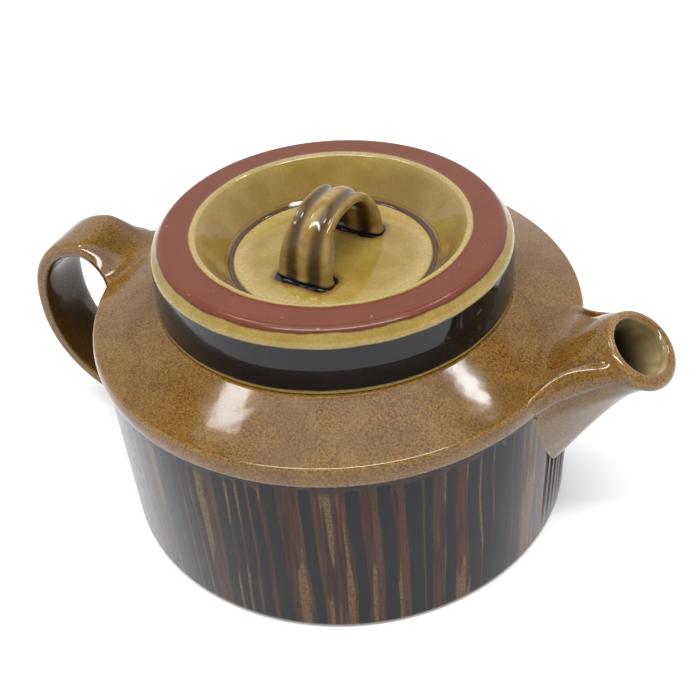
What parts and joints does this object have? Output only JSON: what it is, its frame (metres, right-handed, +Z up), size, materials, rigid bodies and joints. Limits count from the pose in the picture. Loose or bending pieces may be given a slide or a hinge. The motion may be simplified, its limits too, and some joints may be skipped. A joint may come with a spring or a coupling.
{
  "type": "teapot with infuser basket",
  "caption": "Round glazed stoneware teapot with a flared spout, strap handle, sunken lid with arched handle, and a lift-out perforated infuser basket.",
  "frame": {"origin": "on the table, on the axis of the pot, at the plane of the flat foot ring", "axes": "+Z up along the pot's axis, +X towards the spout, handle on -X"},
  "size_m": [0.2333, 0.165, 0.1134],
  "materials": {
    "wall_glaze": "semi-gloss glaze with brushed vertical stripes of black, red-brown and ochre",
    "brown_glaze": "glossy mottled brown glaze",
    "lid_glaze": "satin red-brown top ring, olive-gold well and glossy black side band",
    "gold_glaze": "glossy olive-gold glaze, browner in the grooves",
    "stainless": "satin stainless sheet"
  },
  "bodies": {
    "pot": {"pot_body": "wall_glaze", "shoulder": "brown_glaze", "spout": "brown_glaze", "handle": "brown_glaze"},
    "infuser": {"basket_rim": "stainless", "basket_wall": "stainless", "basket_floor": "stainless", "basket_tabs": "stainless"},
    "lid": {"lid": "lid_glaze", "lid_handle": "gold_glaze"}
  },
  "joints": [
    {"name": "infuser_lift", "type": "slide", "parent": "pot", "child": "infuser", "axis": [0, 0, 1], "range_m": [0, 0.08]},
    {"name": "lid_lift", "type": "slide", "parent": "infuser", "child": "lid", "axis": [0, 0, 1], "range_m": [0, 0.06]}
  ]
}
